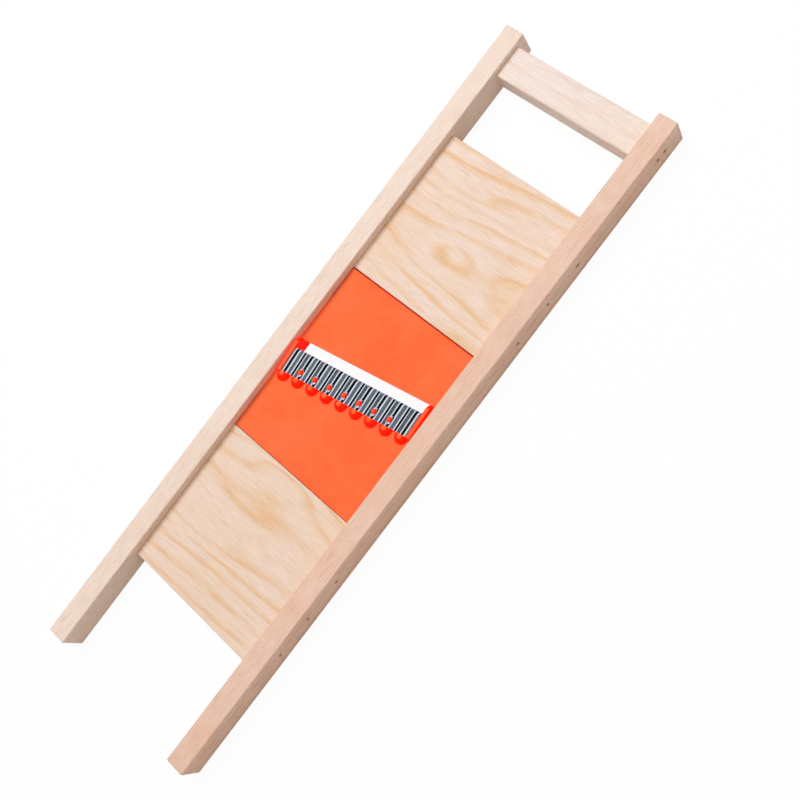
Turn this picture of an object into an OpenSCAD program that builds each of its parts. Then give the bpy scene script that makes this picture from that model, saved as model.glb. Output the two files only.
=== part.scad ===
// Potato slicer: two wooden rails joined by a handle bar and two boards,
// with a moulded insert between the boards that carries a corrugated blade.
// Lying flat on its rails: X across, Y along the rails towards the handle,
// Z up, origin on the resting face at the middle of the frame, millimetres.

/* [Rails] */
// Width over both rails
frame_w = 120; // [112:0.5:150]
// Width of one rail
rail_w = 12.5; // [10:0.5:16]
// Height of one rail
rail_h = 18.5; // [18:0.5:24]
// Rounding of the rails' long edges
rail_edge_r = 0.7; // [0.2:0.1:2]
// Open length of the rails below the lower board
foot_l = 65.5; // [30:0.5:100]
// Length of the rails beyond the handle bar
ear_l = 6.5; // [2:0.5:20]

/* [Boards and handle bar] */
// Length of the lower board along the rails
lower_board_l = 93; // [60:0.5:130]
// Length of the upper board along the rails
upper_board_l = 93; // [60:0.5:130]
// Thickness of both boards
board_t = 6.3; // [6:0.1:8]
// Depth of the boards' faces below the rails' tops
board_drop = 5.5; // [4.5:0.1:8]
// Rounding of the boards' end edges
board_edge_r = 0.4; // [0.1:0.1:1]
// Open length between the upper board and the handle bar, for the fingers
hand_gap = 41; // [30:1:60]
// Width of the handle bar along the rails
bar_w = 20.5; // [14:0.5:30]
// Thickness of the handle bar
bar_t = 14.5; // [10:0.5:14.8]
// Depth of the handle bar's face below the rails' tops
bar_drop = 3.6; // [2:0.1:3.7]
// Rounding of the handle bar's long edges
bar_edge_r = 1.2; // [0.4:0.1:3]

/* [Nails] */
// Thickness of a nail's shank
nail_d = 1.5; // [1.2:0.1:2]
// Length of a nail, head included
nail_l = 25; // [18:1:32]
// Width of a nail's head
nail_head_d = 2.3; // [2.1:0.1:3]
// Thickness of a nail's head
nail_head_t = 0.6; // [0.4:0.1:1]
// Depth of a driven head below the wood
nail_sink = 0.5; // [0.2:0.1:1]
// Distance between the two nails of the handle bar
bar_nail_gap = 6; // [4:0.5:8]
// Distance from the insert to the upper board's nearest nails
upper_nail_low = 19.5; // [8:0.5:28]
// Distance from the upper board's free end to its nearest nails
upper_nail_high = 21.5; // [8:0.5:28]
// Distance from the lower board's free end to its nearest nails
lower_nail_low = 15.5; // [8:0.5:28]
// Distance from the insert to the lower board's nearest nails
lower_nail_high = 28; // [8:0.5:30]
// Slant of a nail's point
nail_tip_l = 2.5; // [1.5:0.5:4]

/* [Insert] */
// Length of the insert along the rails
insert_l = 112.5; // [100:0.5:140]
// Thickness of the insert's face
skin_t = 2.4; // [2:0.1:3]
// Thickness of the insert's skirt, ribs and slot walls
wall_t = 2; // [1.5:0.1:2.5]
// Play between the insert and the wood around it
insert_play = 0.25; // [0.15:0.05:0.5]
// Length of the tongues that hold the insert in the boards
tongue_l = 3; // [2:0.5:5]
// Thickness of these tongues
tongue_t = 2; // [1.6:0.1:2.4]
// Play around a tongue in its groove
tongue_play = 0.1; // [0.05:0.05:0.3]
// Rounding of the insert's upright corners
insert_corner_r = 1; // [0.4:0.1:2]
// Ribs across each pocket under the insert
rib_count = 3; // [1:1:5]
// Least width of the insert's face between the slot's ends and the rails
side_w = 3.5; // [3:0.1:6]
// Width of the open slot in front of the blade's edge
mouth_w = 6.3; // [5.5:0.1:9]
// Width of the cheeks beside the blade
cheek_w = 2.4; // [1.8:0.1:2.6]
// Height of the cheeks above the face at the edge's side
cheek_h = 5; // [4:0.1:5.4]
// Height of the cheeks above the face at their rear ends
cheek_tail_h = 2.6; // [2.4:0.1:3.6]
// Length of the cheeks behind the blade
cheek_tail_l = 1.8; // [1:0.1:3]
// Rounding of the cheeks' front ends
cheek_nose_r = 4; // [2:0.1:4.4]
// Rounding of the cheeks' rear ends
cheek_tail_r = 2; // [1:0.1:2.4]
// Play between the blade's ends and the cheeks
cheek_play = 0.3; // [0.2:0.05:0.6]
// Length of the fairings behind the blade
fairing_l = 6.4; // [5:0.1:8]
// Width of a fairing at the face
fairing_w = 9.2; // [8:0.1:9.6]
// Thickness of the studs that hold the blade
stud_d = 2.6; // [2:0.1:3]
// Width of a stud's head
stud_head_d = 3.4; // [3.1:0.1:3.8]
// Height of a stud's head
stud_head_h = 0.8; // [0.6:0.1:1.4]
// Distance from the blade's rear edge to the studs
stud_inset = 4.1; // [3.2:0.1:5]
// Play around a stud in the blade
stud_play = 0.1; // [0.05:0.05:0.2]

/* [Blade] */
// Slant of the blade across the rails, in degrees
slant = 10; // [0:1:14]
// Distance between two waves of the blade
wave_pitch = 10; // [9:0.1:11]
// Bend radius at the crests and valleys, in the middle of the sheet
wave_r = 1.5; // [1:0.1:2]
// Slope of the flanks, in degrees
flank_a = 35; // [28:1:38]
// Thickness of the steel sheet
blade_t = 0.6; // [0.4:0.05:0.8]
// Width of the blade from rear edge to cutting edge, along the rails
blade_w = 15.4; // [14:0.1:18]
// Rise of the blade from its rear edge to its cutting edge
blade_rise = 2.2; // [1:0.1:2.4]
// Height of the valleys above the insert's face at the rear edge
rear_lift = 0.1; // [0.1:0.1:0.5]
// Length of the ground bevel behind the cutting edge
bevel_l = 1.4; // [1:0.1:2]
// Thickness left at the cutting edge
edge_land = 0.1; // [0.08:0.01:0.2]
// Width of the insert's seat under the blade
seat_w = 8.5; // [7.5:0.1:9]
// Width of the pressed flats around the studs
flat_d = 4.4; // [4:0.1:5]
// Height of these flats above the crests
flat_h = 0.2; // [0.1:0.05:0.3]

/* [Hidden] */
$fn = 48;
eps = 0.02;
over = 1;

// Places along the rails, from the free ends of the rails to the ears
rail_l = foot_l + lower_board_l + insert_l + upper_board_l + hand_gap + bar_w + ear_l;
rail_y0 = -rail_l / 2;
lower_y0 = rail_y0 + foot_l;
insert_y0 = lower_y0 + lower_board_l;
upper_y0 = insert_y0 + insert_l;
bar_y0 = upper_y0 + upper_board_l + hand_gap;
inner_w = frame_w - 2 * rail_w;

// Heights
face_z = rail_h - board_drop;
board_z0 = face_z - board_t;
bar_z0 = rail_h - bar_drop - bar_t;
nail_z = face_z - board_t / 2;
tongue_z0 = face_z - skin_t - (board_t - skin_t + tongue_t) / 2;

// Nails, one list of places along the rails for each joint; a board has its third nail midway
bar_nails = [for (s = [-1, 1]) bar_y0 + bar_w / 2 + s * bar_nail_gap / 2];
upper_nails = with_middle(upper_y0 + upper_nail_low, upper_y0 + upper_board_l - upper_nail_high);
lower_nails = with_middle(lower_y0 + lower_nail_low, lower_y0 + lower_board_l - lower_nail_high);

// Insert body
insert_mid = insert_y0 + insert_l / 2;
insert_w = inner_w - 2 * insert_play;
insert_body_l = insert_l - 2 * insert_play;

// The blade's sheet: straight flanks joined by equal bends, as many waves as fit between the rails
slant_k = tan(slant);
wave_count = 1 + floor((inner_w - wave_pitch / 2) / wave_pitch
                       - 2 * (side_w + cheek_play + blade_t) / wave_pitch);
flank_l = (wave_pitch / 2 - 2 * wave_r * sin(flank_a)) / cos(flank_a);
wave_h = 2 * wave_r * (1 - cos(flank_a)) + flank_l * sin(flank_a);
wave_span = (wave_count - 1) * wave_pitch;
blade_half = wave_span / 2 + wave_pitch / 4;
bend_steps = 6;
rise_a = atan(blade_rise / blade_w);
bevel_a = atan((blade_t - edge_land) / bevel_l);

// The blade's place: its rear edge lies half its width behind the insert's middle
rear_y = insert_mid - blade_w / 2;
edge_y = rear_y + blade_w;
edge_z = face_z + rear_lift + wave_h / 2 + blade_t / 2 + blade_rise;
rear_crest_h = rear_lift + wave_h + blade_t;
stud_count = wave_count - 2;

// Depth to which raised forms are rooted in the insert's face, and the ledge behind the blade
root = skin_t / 2;
seat_ledge = 0.5;

// The slot under the blade's edge and its cheeks
slot_y0 = rear_y + seat_w;
slot_y1 = edge_y + mouth_w;
cheek_x0 = blade_half + blade_t + cheek_play;
cheek_y0 = rear_y - cheek_tail_l;
cheek_l = slot_y1 - cheek_y0;

function with_middle(y0, y1) = [y0, (y0 + y1) / 2, y1];

// One bend of the sheet: points on an arc, from angle a0 to a1
function bend(x, y, r, a0, a1) =
    [for (i = [0:bend_steps])
        let (a = a0 + (a1 - a0) * i / bend_steps)
        [x + r * cos(a), y + r * sin(a)]];

// The sheet's outline at a distance off from its middle, left end to right end
function wave_line(off) =
    let (
        lift = wave_h / 2 - wave_r,
        n = wave_count - 1,
        end = [sin(flank_a) * off, cos(flank_a) * off]
    )
    concat(
        [[-blade_half - end[0], end[1]]],
        [for (i = [0:n])
            let (
                x = -wave_span / 2 + i * wave_pitch,
                crest = bend(x, lift, wave_r + off, 90 + flank_a, 90 - flank_a),
                valley = bend(x + wave_pitch / 2, -lift, wave_r - off, 270 - flank_a, 270 + flank_a)
            )
            each (i < n ? concat(crest, valley) : crest)],
        [[blade_half + end[0], end[1]]]
    );

// The same outline closed far below, for the seat and for the bevel
function wave_ground(off, reach) =
    concat(
        [[-reach, -rail_h], [-reach, cos(flank_a) * off]],
        wave_line(off),
        [[reach, cos(flank_a) * off], [reach, -rail_h]]
    );

function reversed(list) = [for (i = [len(list) - 1:-1:0]) list[i]];

// Puts its children on the sheet's middle plane, Y along the waves, origin on the edge.
// The plane holds the slanted edge level at every rise.
module on_sheet(rise = rise_a) {
    translate([0, edge_y, edge_z])
        rotate([rise, 0, 0])
            rotate([0, atan(slant_k * sin(rise)), 0])
                children();
}

// Draws a profile along the waves, well past both edges of the blade
module along_waves() {
    rotate([90, 0, 0])
        linear_extrude(2 * inner_w, center = true)
            children();
}

// An upright block between two slanted lines, given by their Y at X = 0
module slanted_block(y0, y1, x0, x1, z0, z1) {
    translate([0, 0, z0])
        linear_extrude(z1 - z0)
            polygon([[x0, y0 + x0 * slant_k], [x1, y0 + x1 * slant_k],
                     [x1, y1 + x1 * slant_k], [x0, y1 + x0 * slant_k]]);
}

// A rectangle from the origin with four round corners
module round_rect(w, h, r) {
    translate([r, 0])
        square([w - 2 * r, h]);
    translate([0, r])
        square([w, h - 2 * r]);
    for (x = [r, w - r], y = [r, h - r])
        translate([x, y])
            circle(r);
}

// A wooden bar across the frame, from rail to rail, with rounded long edges
module cross_piece(y0, z0, w, t, r) {
    translate([-inner_w / 2, y0, z0])
        rotate([90, 0, 90])
            linear_extrude(inner_w)
                round_rect(w, t, r);
}

// One nail on the left side, head outwards
module nail() {
    rotate([0, 90, 0]) {
        cylinder(h = nail_head_t, d = nail_head_d);
        cylinder(h = nail_l - nail_tip_l, d = nail_d);
        translate([0, 0, nail_l - nail_tip_l])
            cylinder(h = nail_tip_l, d1 = nail_d, d2 = 0.2);
    }
}

// The same nail with the pocket that its driven head leaves above it
module nail_bore() {
    nail();
    translate([-nail_sink - eps, 0, 0])
        rotate([0, 90, 0])
            cylinder(h = nail_sink + nail_head_t + eps, d = nail_head_d);
}

// A row of nails or of their bores on the left side
module left_row(places) {
    for (y = places)
        translate([-frame_w / 2 + nail_sink, y, nail_z])
            children();
}

// Both sides of a row
module both_rows(places) {
    for (side = [0, 1])
        mirror([side, 0, 0])
            left_row(places)
                children();
}

module rail() {
    difference() {
        translate([-frame_w / 2, rail_y0 + rail_l, 0])
            rotate([90, 0, 0])
                linear_extrude(rail_l)
                    round_rect(rail_w, rail_h, rail_edge_r);
        left_row(concat(bar_nails, upper_nails, lower_nails))
            nail_bore();
    }
}

module left_rail() {
    color("#EAD2BC")
        rail();
}

module right_rail() {
    color("#E3C2AC")
        mirror([1, 0, 0])
            rail();
}

module handle_bar() {
    color("#F0DCC4")
        difference() {
            cross_piece(bar_y0, bar_z0, bar_w, bar_t, bar_edge_r);
            both_rows(bar_nails)
                nail_bore();
        }
}

// A board with a groove for the insert's tongue in the end that faces the insert
module board(y0, l, groove_y, places) {
    difference() {
        cross_piece(y0, board_z0, l, board_t, board_edge_r);
        translate([-frame_w / 2, groove_y - tongue_l, tongue_z0 - tongue_play])
            cube([frame_w, 2 * tongue_l, tongue_t + 2 * tongue_play]);
        both_rows(places)
            nail_bore();
    }
}

module upper_board() {
    color("#EBCFA9")
        board(upper_y0, upper_board_l, upper_y0, upper_nails);
}

module lower_board() {
    color("#EFD5B2")
        board(lower_y0, lower_board_l, insert_y0, lower_nails);
}

// Body of the insert with a tongue along each short side
module insert_block() {
    translate([-insert_w / 2, insert_mid - insert_body_l / 2, board_z0])
        linear_extrude(board_t)
            round_rect(insert_w, insert_body_l, insert_corner_r);
    tongue_reach = insert_body_l / 2 + tongue_l - insert_play;
    translate([-insert_w / 2 + insert_corner_r, insert_mid - tongue_reach, tongue_z0])
        cube([insert_w - 2 * insert_corner_r, 2 * tongue_reach, tongue_t]);
}

// Pockets under the insert, with ribs left between them; side is 1 above the slot, -1 below
module pockets(side) {
    pocket_w = (insert_w - wall_t * (rib_count + 2)) / (rib_count + 1);
    near = side > 0 ? slot_y1 + wall_t : rear_y - wall_t;
    far = insert_mid + side * (insert_body_l / 2 - wall_t);
    for (i = [0:rib_count]) {
        x0 = -insert_w / 2 + wall_t + i * (pocket_w + wall_t);
        x1 = x0 + pocket_w;
        translate([0, 0, board_z0 - over])
            linear_extrude(board_t - skin_t + over)
                polygon([[x0, near + x0 * slant_k], [x0, far], [x1, far], [x1, near + x1 * slant_k]]);
    }
}

// Side view of a cheek: a low tail, a straight rise and a round nose
module cheek_profile() {
    tail = [cheek_tail_r, cheek_tail_h - cheek_tail_r];
    nose = [cheek_l - cheek_nose_r, cheek_h - cheek_nose_r];
    step = nose - tail;
    a = atan2(step[1], step[0]) + asin((cheek_nose_r - cheek_tail_r) / norm(step));
    up = [-sin(a), cos(a)];
    translate(tail)
        circle(cheek_tail_r);
    intersection() {
        translate(nose)
            circle(cheek_nose_r);
        translate([0, -root])
            square([cheek_l, cheek_h + root]);
    }
    polygon([[0, -root], [0, tail[1]], tail + cheek_tail_r * up, nose + cheek_nose_r * up,
             nose, [cheek_l, nose[1]], [cheek_l, -root]]);
}

// A cheek beside the blade, on the side given by -1 or 1
module cheek(side) {
    x = side > 0 ? cheek_x0 : -cheek_x0 - cheek_w;
    y = cheek_y0 + side * (cheek_x0 + cheek_w / 2) * slant_k;
    translate([x, y, face_z])
        rotate([90, 0, 90])
            linear_extrude(cheek_w)
                cheek_profile();
}

// Round fairings that carry on each crest behind the blade
module fairings() {
    r = (pow(fairing_w / 2, 2) + pow(rear_crest_h, 2)) / (2 * rear_crest_h);
    z = face_z + rear_crest_h - r;
    back = fairing_l - fairing_w / 2;
    intersection() {
        for (i = [0:wave_count - 1]) {
            x = -wave_span / 2 + i * wave_pitch;
            translate([x, rear_y + x * slant_k - back, z]) {
                sphere(r);
                rotate([-90, 0, 0])
                    cylinder(h = back + over, r = r);
            }
        }
        slanted_block(rear_y - 2 * fairing_l, rear_y - eps, -insert_w / 2, insert_w / 2,
                      face_z - root, 2 * rail_h);
    }
}

// Puts its children on the crests that have a stud, at the crest's upper side
module on_crests() {
    for (i = [0:stud_count - 1]) {
        x = -wave_span / 2 + (i + 1) * wave_pitch;
        on_sheet()
            translate([x, stud_inset - blade_w + x * slant_k, wave_h / 2 + blade_t / 2])
                children();
    }
}

// A stud through the blade, closed to a low round head
module stud() {
    r = (pow(stud_head_d / 2, 2) + pow(stud_head_h, 2)) / (2 * stud_head_h);
    translate([0, 0, -blade_t - over])
        cylinder(h = blade_t + over + flat_h + eps, d = stud_d);
    intersection() {
        translate([0, 0, flat_h + stud_head_h - r])
            sphere(r);
        translate([0, 0, flat_h])
            cylinder(h = stud_head_h + over, d = stud_head_d + over);
    }
}

// Seat under the rear of the blade, moulded to the underside of its waves;
// its ends lie inside the cheeks, and the slot trims its front
module seat() {
    reach = cheek_x0 + cheek_w / 2;
    intersection() {
        on_sheet()
            along_waves()
                polygon(wave_ground(-blade_t / 2, reach + over));
        slanted_block(rear_y - seat_ledge, slot_y0 + over, -reach, reach, face_z - root, 2 * rail_h);
    }
}

module insert() {
    color("#FF7347") {
        difference() {
            union() {
                insert_block();
                seat();
            }
            pockets(1);
            pockets(-1);
            slanted_block(slot_y0, slot_y1, -cheek_x0, cheek_x0, board_z0 - over, 2 * rail_h);
        }
        fairings();
        for (side = [-1, 1])
            cheek(side);
        on_crests()
            stud();
    }
}

// Corrugated blade: bent sheet, ground edge, and pressed flats with the stud holes
module blade() {
    color("#C9CED3")
        difference() {
            intersection() {
                union() {
                    on_sheet()
                        along_waves()
                            polygon(concat(wave_line(blade_t / 2), reversed(wave_line(-blade_t / 2))));
                    on_crests()
                        translate([0, 0, -blade_t])
                            cylinder(h = blade_t + flat_h, d = flat_d);
                }
                slanted_block(rear_y, edge_y, -inner_w / 2, inner_w / 2, 0, 2 * rail_h);
                on_sheet(rise_a - bevel_a)
                    along_waves()
                        polygon(wave_ground(edge_land - blade_t / 2, inner_w / 2));
            }
            on_crests()
                translate([0, 0, -blade_t - over])
                    cylinder(h = blade_t + 2 * over, d = stud_d + 2 * stud_play);
        }
}

module nails(places) {
    color("#8D8A86")
        left_row(places)
            nail();
}

left_rail();
right_rail();
handle_bar();
upper_board();
lower_board();
insert();
blade();
nails(bar_nails);  // handle_nails_left
mirror([1, 0, 0]) nails(bar_nails);  // handle_nails_right
nails(upper_nails);  // upper_board_nails_left
mirror([1, 0, 0]) nails(upper_nails);  // upper_board_nails_right
nails(lower_nails);  // lower_board_nails_left
mirror([1, 0, 0]) nails(lower_nails);  // lower_board_nails_right
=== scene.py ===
"""Looks of the potato slicer: rails, boards, moulded insert, corrugated blade, nails and studio.

Sizes are in millimetres in the frame of the CAD model: X across the rails, Y along them towards the
handle bar, Z up, the slicer resting on Z = 0. Meshes are in metres.
"""

import logging
import math
from collections.abc import Callable
from dataclasses import dataclass
from enum import Enum

import bpy
from mathutils import Matrix, Vector

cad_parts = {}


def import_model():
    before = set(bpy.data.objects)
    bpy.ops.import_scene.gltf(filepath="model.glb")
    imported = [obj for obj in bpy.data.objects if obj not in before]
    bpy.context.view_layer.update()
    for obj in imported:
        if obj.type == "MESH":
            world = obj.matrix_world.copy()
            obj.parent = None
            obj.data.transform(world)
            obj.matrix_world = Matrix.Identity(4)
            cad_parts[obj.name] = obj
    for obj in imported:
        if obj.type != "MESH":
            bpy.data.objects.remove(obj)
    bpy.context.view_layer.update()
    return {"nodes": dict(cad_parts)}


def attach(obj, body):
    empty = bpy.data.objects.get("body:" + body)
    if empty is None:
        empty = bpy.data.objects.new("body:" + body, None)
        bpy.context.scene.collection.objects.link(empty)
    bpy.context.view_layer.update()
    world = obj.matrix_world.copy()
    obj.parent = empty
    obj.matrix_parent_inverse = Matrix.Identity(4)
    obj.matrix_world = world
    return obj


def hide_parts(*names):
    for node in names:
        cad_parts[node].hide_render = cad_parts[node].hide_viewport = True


LOG = logging.getLogger("potato_slicer")
MM = 0.001
NEAR = 0.01
# How far a cutting tool goes past what it cuts, in millimetres
SPARE = 5.0
Point = tuple[float, float, float]
Test = Callable[[Vector, Vector], bool]


class Part(Enum):
    """What an edit picks, as Blender's three select modes."""

    VERT = (True, False, False)
    EDGE = (False, True, False)
    FACE = (False, False, True)


class Join(Enum):
    """How one solid changes another."""

    ADD = "UNION"
    CUT = "DIFFERENCE"


class Side(Enum):
    """Side of the slicer, as the sign of X."""

    LEFT = -1
    RIGHT = 1


# Shaping, each step as it would be done by hand


def select_nothing() -> None:
    """Leaves edit mode and deselects every object."""
    if bpy.context.object and bpy.context.object.mode != "OBJECT":
        bpy.ops.object.mode_set(mode="OBJECT")
    bpy.ops.object.select_all(action="DESELECT")


def activate(obj: bpy.types.Object) -> None:
    """Makes one object the only selected and the active one.

    Args:
        obj: Object to work on.
    """
    select_nothing()
    obj.select_set(True)
    bpy.context.view_layer.objects.active = obj


def apply_place() -> None:
    """Puts the active object's place, turn and scale into its mesh."""
    bpy.ops.object.mode_set(mode="OBJECT")
    bpy.ops.object.transform_apply(location=True, rotation=True, scale=True)


def box(name: str, low: Point, high: Point) -> bpy.types.Object:
    """Adds a block between two corners.

    Args:
        name: Name of the block.
        low: Its lowest corner.
        high: Its highest corner.

    Returns:
        The block, active and selected.
    """
    select_nothing()
    middle = [(a + b) / 2 * MM for a, b in zip(low, high)]
    bpy.ops.mesh.primitive_cube_add(size=1, location=middle, scale=[(b - a) * MM for a, b in zip(low, high)])
    bpy.context.object.name = name
    apply_place()
    return bpy.context.object


def single_vertex(name: str, place: Point) -> bpy.types.Object:
    """Starts a mesh as one vertex, from which outlines are drawn.

    Args:
        name: Name of the mesh.
        place: Place of the vertex.

    Returns:
        The mesh, in edit mode with its vertex selected.
    """
    select_nothing()
    bpy.ops.mesh.primitive_plane_add(size=2)
    bpy.context.object.name = name
    pick(Part.VERT, lambda spot, way: spot.x < 0 or spot.y < 0)
    bpy.ops.mesh.delete(type="VERT")
    bpy.ops.mesh.select_all(action="SELECT")
    bpy.ops.transform.translate(value=Vector(place) * MM - Vector((1, 1, 0)))
    return bpy.context.object


def pick(kind: Part, chosen: Test) -> None:
    """Goes to edit mode and selects by place and direction.

    Args:
        kind: Whether vertices, edges or faces are picked.
        chosen: Test on an element's middle, in millimetres, and on its normal, or on an edge's direction.
    """
    bpy.ops.object.mode_set(mode="OBJECT")
    bpy.context.tool_settings.mesh_select_mode = kind.value
    mesh = bpy.context.object.data
    for group in (mesh.vertices, mesh.edges, mesh.polygons):
        group.foreach_set("select", [False] * len(group))
    if kind is Part.VERT:
        for vertex in mesh.vertices:
            vertex.select = chosen(vertex.co / MM, vertex.normal)
    elif kind is Part.FACE:
        for face in mesh.polygons:
            face.select = chosen(face.center / MM, face.normal)
    else:
        for edge in mesh.edges:
            ends = [mesh.vertices[i] for i in edge.vertices]
            if chosen((ends[0].co + ends[1].co) / (2 * MM), (ends[1].co - ends[0].co).normalized()):
                edge.select = ends[0].select = ends[1].select = True
    bpy.ops.object.mode_set(mode="EDIT")


def extrude(step: Point) -> None:
    """Extrudes what is selected.

    Args:
        step: Way that it goes.
    """
    bpy.ops.mesh.extrude_region_move(TRANSFORM_OT_translate={"value": Vector(step) * MM})


def spin(middle: Point, axis: Point, turn: float, steps: int) -> None:
    """Spins what is selected about an axis.

    Args:
        middle: Point on the axis.
        axis: Direction of the axis.
        turn: Turn in radians by the right-hand rule.
        steps: Number of steps.
    """
    # Without a window the operator turns the other way
    bpy.ops.mesh.spin(steps=steps, angle=-turn, center=Vector(middle) * MM, axis=axis)


def turned(name: str, start: Point, steps: list[Point], axis: Point, segments: int) -> bpy.types.Object:
    """Draws an outline step by step from its axis and back, and turns it to a round solid, as on a lathe.

    Args:
        name: Name of the solid.
        start: Place on the axis where the outline starts.
        steps: Steps of the outline.
        axis: Direction of the axis.
        segments: Number of faces round the solid.

    Returns:
        The solid.
    """
    made = single_vertex(name, start)
    for step in steps:
        extrude(step)
    bpy.ops.mesh.select_all(action="SELECT")
    spin(start, axis, 2 * math.pi, segments)
    outwards()
    return made


def bevel(width: float, segments: int) -> None:
    """Rounds the picked edges.

    Args:
        width: Distance of the rounding's ends from the edge.
        segments: Number of faces across the rounding.
    """
    bpy.ops.mesh.bevel(offset=width * MM, segments=segments, profile=0.5, affect="EDGES", clamp_overlap=True)


def trim(middle: Point, normal: Point) -> None:
    """Cuts all that lies beyond a plane off the active mesh and closes the cut.

    Args:
        middle: Point on the plane.
        normal: Direction that is cut away.
    """
    bpy.ops.mesh.select_all(action="SELECT")
    bpy.ops.mesh.bisect(plane_co=Vector(middle) * MM, plane_no=normal, use_fill=True, clear_outer=True)


def modify(kind: str, **settings: object) -> None:
    """Puts a modifier on the active object and applies it.

    Args:
        kind: Type of the modifier.
        **settings: Its settings.
    """
    bpy.ops.object.mode_set(mode="OBJECT")
    change = bpy.context.object.modifiers.new(kind.lower(), kind)
    for name, value in settings.items():
        setattr(change, name, value)
    bpy.ops.object.modifier_apply(modifier=change.name)


def combine(body: bpy.types.Object, tool: bpy.types.Object, how: Join) -> None:
    """Adds a solid to another or cuts it out, and removes it.

    Args:
        body: Solid that changes.
        tool: Solid that it is changed by.
        how: Whether the tool is added or cut out.
    """
    activate(body)
    modify("BOOLEAN", operation=how.value, object=tool, solver="EXACT")
    bpy.data.objects.remove(tool)


def at(place: Point) -> Matrix:
    """Gives the move to a place in millimetres."""
    return Matrix.Translation(Vector(place) * MM)


def copied(obj: bpy.types.Object, place: Matrix) -> bpy.types.Object:
    """Copies an object with its own mesh and puts the copy elsewhere.

    Args:
        obj: Object to copy.
        place: Where the copy goes, in metres.

    Returns:
        The copy, with its place in its mesh.
    """
    activate(obj)
    bpy.ops.object.duplicate(linked=False)
    made = bpy.context.object
    made.matrix_world = place
    apply_place()
    if place.determinant() < 0:
        outwards()
    return made


def outwards() -> None:
    """Merges doubles and turns all faces of the active object outwards."""
    bpy.ops.object.mode_set(mode="EDIT")
    bpy.ops.mesh.select_all(action="SELECT")
    bpy.ops.mesh.remove_doubles(threshold=0.002 * MM)
    bpy.ops.mesh.normals_make_consistent(inside=False)
    bpy.ops.object.mode_set(mode="OBJECT")


def smooth(obj: bpy.types.Object, angle: float = 32.0) -> None:
    """Shades a finished piece smooth, with its flat faces kept flat beside rounded edges.

    Args:
        obj: The piece.
        angle: Edges sharper than this stay sharp, in degrees.
    """
    activate(obj)
    bpy.ops.object.shade_smooth_by_angle(angle=math.radians(angle))
    modify("WEIGHTED_NORMAL", keep_sharp=True, weight=100)


def dress(obj: bpy.types.Object, material: bpy.types.Material) -> None:
    """Gives a piece one finish all over.

    Args:
        obj: The piece.
        material: Its finish.
    """
    obj.data.materials.clear()
    obj.data.materials.append(material)
    LOG.info("%s: %s, %d faces", obj.name, material.name, len(obj.data.polygons))


def stand_in(obj: bpy.types.Object, material: bpy.types.Material, node: str) -> None:
    """Dresses a new piece and hands it in for a node of the CAD model.

    Args:
        obj: The new piece.
        material: Its finish.
        node: Node that it stands for.
    """
    dress(obj, material)
    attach(obj, "root")
    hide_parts(node)


# Finishes


def linear(hex_colour: str) -> tuple[float, float, float, float]:
    """Turns an sRGB hex colour to the linear colour that Blender's sockets take.

    Args:
        hex_colour: Six hex digits after a #.

    Returns:
        Linear red, green and blue, and an alpha of 1.
    """
    parts = [int(hex_colour[i : i + 2], 16) / 255 for i in (1, 3, 5)]
    red, green, blue = [c / 12.92 if c <= 0.04045 else ((c + 0.055) / 1.055) ** 2.4 for c in parts]
    return (red, green, blue, 1.0)


def add_node(
    tree: bpy.types.NodeTree, kind: str, settings: dict | None = None, **inputs: object
) -> bpy.types.Node:
    """Adds one shader node with its settings, its values and its links.

    Args:
        tree: Node tree that gets the node.
        kind: Node type without its ShaderNode prefix.
        settings: Attributes of the node itself; stops gives a ramp's places and hex colours.
        **inputs: A number, a hex colour, a socket, or a node for its first output, for each input by
            the input's name with _ for a space, or in0, in1 and so on by its place.

    Returns:
        The new node.
    """
    made = tree.nodes.new("ShaderNode" + kind)
    for name, value in (settings or {}).items():
        if name != "stops":
            setattr(made, name, value)
            continue
        elements = made.color_ramp.elements
        for i, (place, colour) in enumerate(value):
            stop = elements[i] if i < 2 else elements.new(place)
            stop.position = place
            stop.color = linear(colour)
    for name, value in inputs.items():
        if name[:2] == "in" and name[2:].isdigit():
            socket = made.inputs[int(name[2:])]
        else:
            socket = next(s for s in made.inputs if s.enabled and s.name == name.replace("_", " "))
        if isinstance(value, bpy.types.Node):
            value = next(s for s in value.outputs if s.enabled)
        if isinstance(value, bpy.types.NodeSocket):
            tree.links.new(value, socket)
        else:
            socket.default_value = linear(value) if isinstance(value, str) else value
    return made


def new_material(name: str) -> tuple[bpy.types.Material, bpy.types.NodeTree]:
    """Makes an empty node material.

    Args:
        name: Name of the material.

    Returns:
        The material and its node tree.
    """
    material = bpy.data.materials.new(name)
    material.use_nodes = True
    material.node_tree.nodes.clear()
    return material, material.node_tree


def in_millimetres(tree: bpy.types.NodeTree) -> bpy.types.Node:
    """Reads the place on the piece.

    Args:
        tree: Node tree that gets the nodes.

    Returns:
        The place in millimetres.
    """
    spot = add_node(tree, "TexCoord").outputs["Object"]
    return add_node(tree, "Mapping", {"vector_type": "POINT"}, Vector=spot, Scale=(1 / MM, 1 / MM, 1 / MM))


def mottle(
    tree: bpy.types.NodeTree, place: bpy.types.Node, size: Point, detail: float = 2.0, rough: float = 0.5
) -> bpy.types.Node:
    """Draws an irregular pattern whose spots have a real size.

    Args:
        tree: Node tree that gets the nodes.
        place: Place in millimetres.
        size: Size of the spots along X, Y and Z.
        detail: Number of times that the pattern is broken up more finely.
        rough: Strength of each finer pattern.

    Returns:
        The pattern, from 0 to 1.
    """
    sized = add_node(tree, "VectorMath", {"operation": "DIVIDE"}, in0=place, in1=size)
    return add_node(tree, "TexNoise", Vector=sized, Scale=1.0, Detail=detail, Roughness=rough)


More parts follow.
